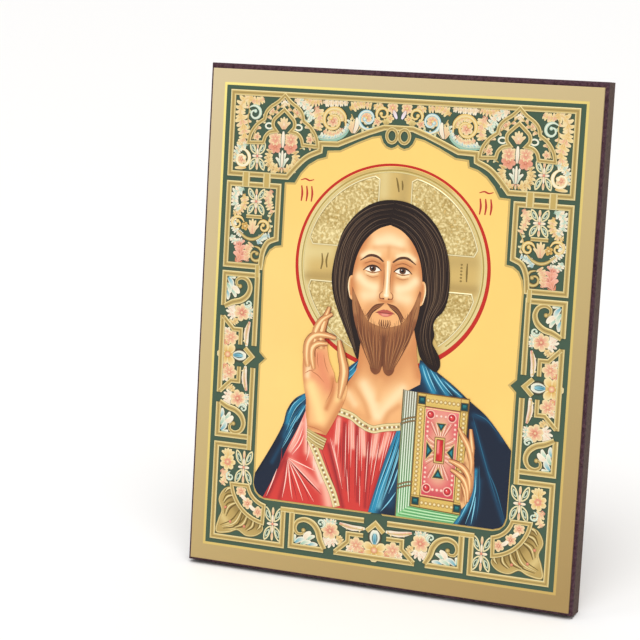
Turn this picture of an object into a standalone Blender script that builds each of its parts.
"""Tabletop icon: a bevelled board with an embossed foil print on its front, two moulded brackets
on its back, and a moulded foot whose two tongues plug into the lower bracket.

The pieces are modelled on an upright board: x across it, y from its front to its back, z up from
its bottom edge. They hang on one empty, which leans them back until the board's rear bottom edge
and the two pads of the foot stand on the table, z = 0. The front looks along -Y.
"""

import math

import bmesh
import bpy

MM = 0.001
GLUE_GAP = 0.3 * MM  # between two pieces that are glued together
SLIDE_FIT = 0.3 * MM  # round a tongue in its socket

# Board
BOARD_WIDTH = 160 * MM
BOARD_HEIGHT = 200 * MM
BOARD_THICKNESS = 9.5 * MM
BEVEL_WIDTH = 1.3 * MM  # bevel round the front, seen from the front
BEVEL_DEPTH = 1.1 * MM  # the same bevel, seen from the side

# Embossed print
SHEET_THICKNESS = 0.6 * MM
RELIEF_HEIGHT = 0.34 * MM  # lowest strap above the sheet
RELIEF_STEP = 0.05 * MM  # each strap that passes over another stands this much higher
RELIEF_ROOT = 0.2 * MM  # how deep the straps are rooted in the sheet
RELIEF_DRAFT = 0.12 * MM  # how far the side of a strap slopes in

# Brackets
BRACKET_LENGTH = 86 * MM
BRACKET_HEIGHT = 12.8 * MM
BRACKET_DEPTH = 9.5 * MM
BRACKET_EDGE_DISTANCE = 15 * MM  # from the board's top or bottom edge
BRACKET_TOP_SLOPE = 1.8 * MM  # how much lower the top is at its outer edge
BRACKET_END_TAPER = 1.2 * MM  # how much shorter the face is at each end
BRACKET_EDGE_BEVEL = 0.7 * MM
SOCKET_SHARE = 0.46  # height of the sockets' middle as a share of the bracket's
SOCKET_DEPTH = 7 * MM

# Foot
FOOT_THICKNESS = 4.5 * MM
FOOT_REACH = 93 * MM  # back of the board to the far edge
ARM_WIDTH = 12 * MM
TONGUE_HALF = 37.2 * MM  # centre line to the outside of a tongue
WIDE_HALF = 51 * MM  # centre line to the outside of an arm
OUTER_STEP = 20.5 * MM  # back of the board to the outer step of an arm
INNER_STEP = 33 * MM  # back of the board to its inner step
CROSS_BAR_WIDTH = 11 * MM
FOOT_CORNER = 4 * MM
STEP_CORNER = 1.8 * MM
FOOT_EDGE_BEVEL = 0.5 * MM
PAD_RADIUS = 5 * MM
PAD_HEIGHT = 6 * MM
PAD_SETBACK = 0.5 * MM  # pad to the foot's edges
PAD_ROUNDING = 1.1 * MM
PAD_SIDES = 28
CORNER_STEPS = 5  # flats on a rounded corner of the foot

# The border is drawn in millimetres on a sheet of this size, x from its centre line and y from its
# bottom edge. fitted() stretches the drawing to the sheet as it is.
DRAWING_WIDTH = 157.4
DRAWING_HEIGHT = 196.6
RAIL_X = 69.4  # middle of the outer rail, the strap round the border
RAIL_TOP = 187.6
RAIL_BOTTOM = 10.0
RAIL_WIDTH = 2.0
STRAP_WIDTH = 1.5
INNER_LINE = 55.0  # middle of the straight strap beside the picture
SIDE_MIDDLE = 84.0  # height at which the side borders are mirrored
BOTTOM_LINE = 24.4  # middle of the strap below the picture
BOTTOM_STRETCH = 1.09  # the bottom border is the side border, this much longer
BORDER_DEPTH = 14.4  # inner line to rail
CORNER_CENTRE = (45.5, 34.5)
ARCH_X = 47.4
HALO_CENTRE = (0.0, 124.3)
HALO_RIM = 37.4
HALO_PANEL_RADIUS = 35.3
HALO_ARM_HALF = 6.4
PANEL_LOWER_END = -54.0  # where the lower panels end, in degrees round the halo
HAIR_CENTRE = (0.0, 121.5)
HAIR_HALF = (25.3, 29.6)

# Outlines of the border, for its right half
ARCHED_TOP = [
    (5.8, 177.2), (10.0, 175.3), (17.0, 172.7), (24.3, 169.4), (32.0, 169.4), (32.0, 167.0),
    (35.6, 165.2), (38.7, 162.8), (41.7, 159.6), (44.9, 155.9), (RAIL_X, 155.9), (RAIL_X, RAIL_TOP),
]
SHOULDER = [
    (RAIL_X, 152.1), (48.0, 152.1), (48.0, 131.9), (50.6, 130.6), (52.7, 128.4), (53.8, 125.2),
    (54.6, 119.5), (RAIL_X, 119.5),
]
LOWER_CORNER = [
    (INNER_LINE - 1.0, 48.0), (RAIL_X, 48.0), (RAIL_X, RAIL_BOTTOM), (38.9, RAIL_BOTTOM), (38.9, BOTTOM_LINE),
]
CORNER_LEAF = [
    (61.9, 31.2), (65.7, 28.3), (66.6, 24.4), (65.1, 20.4), (66.6, 17.0), (66.3, 12.9), (62.2, 12.9),
    (58.6, 14.6), (54.8, 12.9), (50.8, 13.4), (47.3, 16.2),
]
ARCH_OUTSIDE = [  # x from ARCH_X
    (0.0, 187.4), (3.9, 184.6), (7.2, 181.8), (8.9, 178.7), (12.0, 175.6), (13.8, 172.2), (14.4, 168.5),
]
ARCH_INSIDE = [
    (8.2, 168.5), (7.3, 171.2), (5.6, 172.9), (3.6, 173.7), (4.1, 176.0), (2.9, 178.7), (0.0, 181.2),
]

# Outlines of the side border: height above or below SIDE_MIDDLE, then distance out from INNER_LINE
SIDE_END = [(4.6, 0.0), (32.2, 0.0), (32.2, BORDER_DEPTH), (19.2, BORDER_DEPTH)]
SIDE_RAIL = [(-15.8, BORDER_DEPTH), (15.8, BORDER_DEPTH)]
ZIGZAG = [(4.4, 5.8), (9.9, 5.8), (9.9, 9.3), (14.9, 13.9)]
CHEVRON = [(3.1, 3.9), (0.0, 0.8), (-3.1, 3.9)]
SCROLL = [
    (31.6, 5.2), (29.9, 3.5), (27.3, 2.9), (24.9, 3.7), (23.3, 5.8), (22.4, 8.6), (21.2, 11.4), (19.6, 13.8),
]

sheet_width = BOARD_WIDTH - 2 * BEVEL_WIDTH
sheet_height = BOARD_HEIGHT - 2 * BEVEL_WIDTH
bracket_back = BOARD_THICKNESS + GLUE_GAP
bracket_face = bracket_back + BRACKET_DEPTH
socket_height = BRACKET_HEIGHT * SOCKET_SHARE  # from the bracket's underside
foot_height = BRACKET_EDGE_DISTANCE + socket_height  # middle of the foot above the board's bottom
pad_y = BOARD_THICKNESS + FOOT_REACH - PAD_RADIUS - PAD_SETBACK
lean = math.atan2(foot_height - FOOT_THICKNESS / 2 - PAD_HEIGHT, pad_y - BOARD_THICKNESS)


def material(name, colour, roughness, metallic=0.0):
    made = bpy.data.materials.new(name)
    made.use_nodes = True
    shader = made.node_tree.nodes["Principled BSDF"]
    shader.inputs["Base Color"].default_value = (*colour, 1.0)
    shader.inputs["Roughness"].default_value = roughness
    shader.inputs["Metallic"].default_value = metallic
    return made


def new_object(name, shape, finish=None):
    """Turns a bmesh into a named object with its faces pointing out."""
    bmesh.ops.recalc_face_normals(shape, faces=shape.faces)
    mesh = bpy.data.meshes.new(name)
    shape.to_mesh(mesh)
    shape.free()
    made = bpy.data.objects.new(name, mesh)
    bpy.context.scene.collection.objects.link(made)
    if finish:
        mesh.materials.append(finish)
    return made


def combine(body, other, operation, solver="EXACT"):
    """Unites other with body, or cuts it away, and removes it."""
    step = body.modifiers.new(operation, "BOOLEAN")
    step.operation = operation
    step.solver = solver
    step.object = other
    bpy.context.view_layer.update()
    view = bpy.context.evaluated_depsgraph_get()
    result = bpy.data.meshes.new_from_object(body.evaluated_get(view))
    body.modifiers.clear()
    body.data = result
    bpy.data.objects.remove(other, do_unlink=True)


def bevel_edges(body, width):
    step = body.modifiers.new("edge_bevel", "BEVEL")
    step.width = width
    step.segments = 2
    step.limit_method = "ANGLE"
    step.angle_limit = math.radians(50)


def add_loft(shape, rings):
    """Closed solid through rings of points, each ring with as many points as the last."""
    rows = [[shape.verts.new(point) for point in ring] for ring in rings]
    for low, high in zip(rows, rows[1:]):
        for i in range(len(low)):
            j = (i + 1) % len(low)
            shape.faces.new((low[i], low[j], high[j], high[i]))
    shape.faces.new(rows[0])
    shape.faces.new(rows[-1])


def rectangle(left, right, y, low, high):
    return [(left, y, low), (right, y, low), (right, y, high), (left, y, high)]


def rounded(corners):
    """Outline through (x, y, radius) right-angled corners, each rounded by its radius."""
    made = []
    for i, (x, y, radius) in enumerate(corners):
        if radius == 0:
            made.append((x, y))
            continue
        reach = []
        for other_x, other_y, _ in (corners[i - 1], corners[(i + 1) % len(corners)]):
            share = radius / math.hypot(other_x - x, other_y - y)
            reach.append(((other_x - x) * share, (other_y - y) * share))
        for k in range(CORNER_STEPS + 1):
            turn = math.pi / 2 * k / CORNER_STEPS
            before, after = 1 - math.sin(turn), 1 - math.cos(turn)
            made.append((
                x + reach[0][0] * before + reach[1][0] * after,
                y + reach[0][1] * before + reach[1][1] * after,
            ))
    return made


# Board

def make_board(finish):
    """Slab with a bevel round its front face."""
    half = BOARD_WIDTH / 2

    def ring(inset, y):
        return rectangle(inset - half, half - inset, y, inset, BOARD_HEIGHT - inset)

    shape = bmesh.new()
    add_loft(shape, [ring(0, BOARD_THICKNESS), ring(0, BEVEL_DEPTH), ring(BEVEL_WIDTH, 0)])
    return new_object("board", shape, finish)


# Embossed print

def mirrored(points):
    return [(-x, y) for x, y in points]


def arc(centre, radius, start_deg, end_deg, steps):
    turns = [math.radians(start_deg + (end_deg - start_deg) * i / steps) for i in range(steps + 1)]
    return [(centre[0] + radius * math.cos(turn), centre[1] + radius * math.sin(turn)) for turn in turns]


def border_places():
    """The two side borders and the bottom one are one drawing, placed three times."""
    sides = [
        lambda along, out, side=side: (side * (INNER_LINE + out), SIDE_MIDDLE + along) for side in (-1, 1)
    ]
    return sides + [lambda along, out: (along * BOTTOM_STRETCH, BOTTOM_LINE - out)]


def straps():
    """Every raised strap as (layer, width, closed, points). Straps of one layer don't cross."""
    made = [(0, RAIL_WIDTH, True, ARCHED_TOP + mirrored(ARCHED_TOP)[::-1])]
    made.append((0, STRAP_WIDTH, False, arc(HALO_CENTRE, HALO_RIM, -47, 227, 56)))
    crescent = arc(CORNER_CENTRE, 9.2, -16, -80, 6) + arc(CORNER_CENTRE, 16.5, -80, -12, 9)
    right_half = [
        (0, RAIL_WIDTH, True, SHOULDER),
        (0, RAIL_WIDTH, False, LOWER_CORNER),
        (1, STRAP_WIDTH, True, crescent),
        (0, STRAP_WIDTH, False, CORNER_LEAF),
    ]
    arch = [(ARCH_X + x, y) for x, y in ARCH_OUTSIDE + ARCH_INSIDE]
    arch += [(ARCH_X - x, y) for x, y in ARCH_INSIDE[-2::-1] + ARCH_OUTSIDE[:0:-1]]
    right_half.append((2, STRAP_WIDTH, True, arch))
    for x in (53.7, 62.9):
        right_half.append((1, STRAP_WIDTH, False, [(x, 157.4), (x, 150.6)]))
    for layer, width, closed, points in right_half:
        made.append((layer, width, closed, points))
        made.append((layer, width, closed, mirrored(points)))
    for layer, x in ((2, -2.5), (3, 2.5)):
        made.append((layer, 1.2, True, arc((x, 174.2), 2.5, 0, 345, 23)))
    for place in border_places():
        made.append((0, RAIL_WIDTH, False, [place(*point) for point in SIDE_RAIL]))
        made.append((1, STRAP_WIDTH, False, [place(*point) for point in CHEVRON]))
        doubled = ((0, RAIL_WIDTH, SIDE_END), (1, STRAP_WIDTH, ZIGZAG), (1, STRAP_WIDTH, SCROLL))
        for layer, width, points in doubled:
            for end in (-1, 1):
                made.append((layer, width, False, [place(end * along, out) for along, out in points]))
    return made


def on_hair(turn):
    """Point of the hair's outline, an ellipse."""
    return HAIR_CENTRE[0] + HAIR_HALF[0] * math.cos(turn), HAIR_CENTRE[1] + HAIR_HALF[1] * math.sin(turn)


def halo_panels():
    """The four raised panels between the arms of the halo, from its rim to the figure's hair."""
    reach = math.degrees(math.asin(HALO_ARM_HALF / HALO_PANEL_RADIUS))
    centre_y = HALO_CENTRE[1] - HAIR_CENTRE[1]
    beside_top_arm = math.acos(HALO_ARM_HALF / HAIR_HALF[0])
    above_side_arm = math.asin((centre_y + HALO_ARM_HALF) / HAIR_HALF[1])
    below_side_arm = math.asin((centre_y - HALO_ARM_HALF) / HAIR_HALF[1])
    lower_end = math.radians(PANEL_LOWER_END)
    upper = (reach, 90 - reach, beside_top_arm, above_side_arm)
    lower = (-reach, PANEL_LOWER_END, lower_end, below_side_arm)
    made = []
    for rim_start, rim_end, hair_start, hair_end in (upper, lower):
        outline = arc(HALO_CENTRE, HALO_PANEL_RADIUS, rim_start, rim_end, 9)
        outline += [on_hair(hair_start + (hair_end - hair_start) * i / 6) for i in range(7)]
        made += [outline, mirrored(outline)]
    return made


def fitted(point):
    """A point of the drawing, in millimetres, on the real sheet, in metres."""
    x = point[0] / DRAWING_WIDTH * sheet_width
    z = BEVEL_WIDTH + point[1] / DRAWING_HEIGHT * sheet_height
    return x, z


def strap_sides(points, half, closed):
    """The points offset to both sides by half, mitred at the corners."""
    sides = []
    count = len(points)
    for i, (x, y) in enumerate(points):
        before = points[i - 1] if closed or i > 0 else None
        after = points[(i + 1) % count] if closed or i < count - 1 else None
        directions = []
        if before:
            directions.append(math.atan2(y - before[1], x - before[0]))
        if after:
            directions.append(math.atan2(after[1] - y, after[0] - x))
        turn = math.remainder(directions[-1] - directions[0], 2 * math.pi)
        middle = directions[0] + turn / 2 + math.pi / 2
        reach = half / max(math.cos(turn / 2), 0.5)
        offset = (reach * math.cos(middle), reach * math.sin(middle))
        sides.append(((x + offset[0], y + offset[1]), (x - offset[0], y - offset[1])))
    return sides


def make_strap(layer, width, closed, points):
    foot_y = -(GLUE_GAP + SHEET_THICKNESS - RELIEF_ROOT)
    top_y = -(GLUE_GAP + SHEET_THICKNESS + RELIEF_HEIGHT + layer * RELIEF_STEP)
    real = [fitted(point) for point in points]
    low = strap_sides(real, width * MM / 2 + RELIEF_DRAFT / 2, closed)
    high = strap_sides(real, width * MM / 2 - RELIEF_DRAFT / 2, closed)
    shape = bmesh.new()
    sections = []
    for (low_left, low_right), (high_left, high_right) in zip(low, high):
        corners = ((low_left, foot_y), (low_right, foot_y), (high_right, top_y), (high_left, top_y))
        sections.append([shape.verts.new((round(x, 6), y, round(z, 6))) for (x, z), y in corners])
    pairs = list(zip(sections, sections[1:]))
    if closed:
        pairs.append((sections[-1], sections[0]))
    else:
        shape.faces.new(sections[0])
        shape.faces.new(sections[-1])
    for here, there in pairs:
        for i in range(4):
            j = (i + 1) % 4
            shape.faces.new((here[i], here[j], there[j], there[i]))
    return new_object("strap", shape)


def make_sheet(finish):
    """Flat sheet with the border's straps, the halo's rim and its four panels standing on it."""
    front = -(GLUE_GAP + SHEET_THICKNESS)
    half = sheet_width / 2
    top = BEVEL_WIDTH + sheet_height
    shape = bmesh.new()
    add_loft(shape, [rectangle(-half, half, y, BEVEL_WIDTH, top) for y in (-GLUE_GAP, front)])
    sheet = new_object("picture_sheet", shape, finish)
    for outline in halo_panels():
        real = [fitted(point) for point in outline]
        shape = bmesh.new()
        add_loft(shape, [[(x, y, z) for x, z in real] for y in (front + RELIEF_ROOT, front - RELIEF_HEIGHT)])
        combine(sheet, new_object("halo_panel", shape), "UNION", "MANIFOLD")
    for strap in straps():
        combine(sheet, make_strap(*strap), "UNION", "MANIFOLD")
    return sheet


# Brackets and foot

def make_bracket(name, bottom, finish):
    """Moulded bar with a sloped top and tapered ends, and a socket near each end of its face."""
    half = BRACKET_LENGTH / 2
    face_half = half - BRACKET_END_TAPER
    top = bottom + BRACKET_HEIGHT
    face_top = top - BRACKET_TOP_SLOPE
    shape = bmesh.new()
    add_loft(shape, [
        rectangle(-half, half, bracket_back, bottom, top),
        rectangle(-face_half, face_half, bracket_face, bottom, face_top),
    ])
    bracket = new_object(name, shape, finish)
    bevel_edges(bracket, BRACKET_EDGE_BEVEL)
    middle = bottom + socket_height
    half_height = FOOT_THICKNESS / 2 + SLIDE_FIT
    for side in (-1, 1):
        inner = side * (TONGUE_HALF - ARM_WIDTH - SLIDE_FIT)
        outer = side * (TONGUE_HALF + SLIDE_FIT)
        shape = bmesh.new()
        add_loft(shape, [
            rectangle(inner, outer, y, middle - half_height, middle + half_height)
            for y in (bracket_face - SOCKET_DEPTH, bracket_face + SOCKET_DEPTH)
        ])
        combine(bracket, new_object("socket_cutter", shape), "DIFFERENCE")
    return bracket


def foot_outline():
    """The foot from above: two tongues, two arms that step out and in again, and a cross bar."""
    tongue_end = bracket_face - SOCKET_DEPTH + SLIDE_FIT
    far_edge = BOARD_THICKNESS + FOOT_REACH
    bar_edge = far_edge - CROSS_BAR_WIDTH
    tongue_inside = TONGUE_HALF - ARM_WIDTH
    arm_inside = WIDE_HALF - ARM_WIDTH
    right = [
        (arm_inside, bar_edge, STEP_CORNER),
        (arm_inside, BOARD_THICKNESS + INNER_STEP, STEP_CORNER),
        (tongue_inside, BOARD_THICKNESS + INNER_STEP, STEP_CORNER),
        (tongue_inside, tongue_end, 0),
        (TONGUE_HALF, tongue_end, 0),
        (TONGUE_HALF, BOARD_THICKNESS + OUTER_STEP, STEP_CORNER),
        (WIDE_HALF, BOARD_THICKNESS + OUTER_STEP, STEP_CORNER),
        (WIDE_HALF, far_edge, FOOT_CORNER),
    ]
    left = [(-x, y, radius) for x, y, radius in reversed(right)]
    return rounded(right + left)


def make_foot(finish):
    """Plate of the foot's outline, with two pads whose undersides lie on the table."""
    outline = foot_outline()
    shape = bmesh.new()
    add_loft(shape, [
        [(x, y, z) for x, y in outline]
        for z in (foot_height - FOOT_THICKNESS / 2, foot_height + FOOT_THICKNESS / 2)
    ])
    foot = new_object("foot", shape, finish)
    bevel_edges(foot, FOOT_EDGE_BEVEL)
    rings = (
        (PAD_RADIUS - PAD_ROUNDING, 0.0),
        (PAD_RADIUS - PAD_ROUNDING * 0.3, PAD_ROUNDING * 0.3),
        (PAD_RADIUS, PAD_ROUNDING),
    )
    slope = math.tan(lean)
    for side in (-1, 1):
        x = side * (WIDE_HALF - PAD_RADIUS - PAD_SETBACK)

        def ring(radius, height, x=x):
            """Ring at a height above the table, or at the foot's middle where height is None."""
            made = []
            for k in range(PAD_SIDES):
                turn = 2 * math.pi * k / PAD_SIDES
                y = pad_y + radius * math.sin(turn)
                z = foot_height if height is None else (y - BOARD_THICKNESS) * slope + height
                made.append((x + radius * math.cos(turn), y, z))
            return made

        shape = bmesh.new()
        add_loft(shape, [ring(radius, height) for radius, height in rings] + [ring(PAD_RADIUS, None)])
        combine(foot, new_object("pad", shape), "UNION")
    return foot


def lean_back(pieces):
    """Leans the pieces until they stand on the table, and centres them over the origin."""
    stand = bpy.data.objects.new("lean_back", None)
    bpy.context.scene.collection.objects.link(stand)
    stand.rotation_euler.x = -lean
    for piece in pieces:
        piece.parent = stand
        piece.location.y = -BOARD_THICKNESS
    bpy.context.view_layer.update()
    view = bpy.context.evaluated_depsgraph_get()
    reach = []
    for piece in pieces:
        made = piece.evaluated_get(view)
        reach += [(piece.matrix_world @ vertex.co).y for vertex in made.data.vertices]
    stand.location.y = -(min(reach) + max(reach)) / 2


for old in list(bpy.data.objects):
    bpy.data.objects.remove(old, do_unlink=True)

painted_board = material("dark_painted_board", (0.060, 0.024, 0.022), 0.45)
gold_foil = material("embossed_gold_foil", (0.66, 0.50, 0.22), 0.35, 0.7)
brown_plastic = material("brown_plastic", (0.070, 0.040, 0.035), 0.30)

lean_back([
    make_board(painted_board),
    make_sheet(gold_foil),
    make_bracket("upper_bracket", BOARD_HEIGHT - BRACKET_EDGE_DISTANCE - BRACKET_HEIGHT, brown_plastic),
    make_bracket("lower_bracket", BRACKET_EDGE_DISTANCE, brown_plastic),
    make_foot(brown_plastic),
])
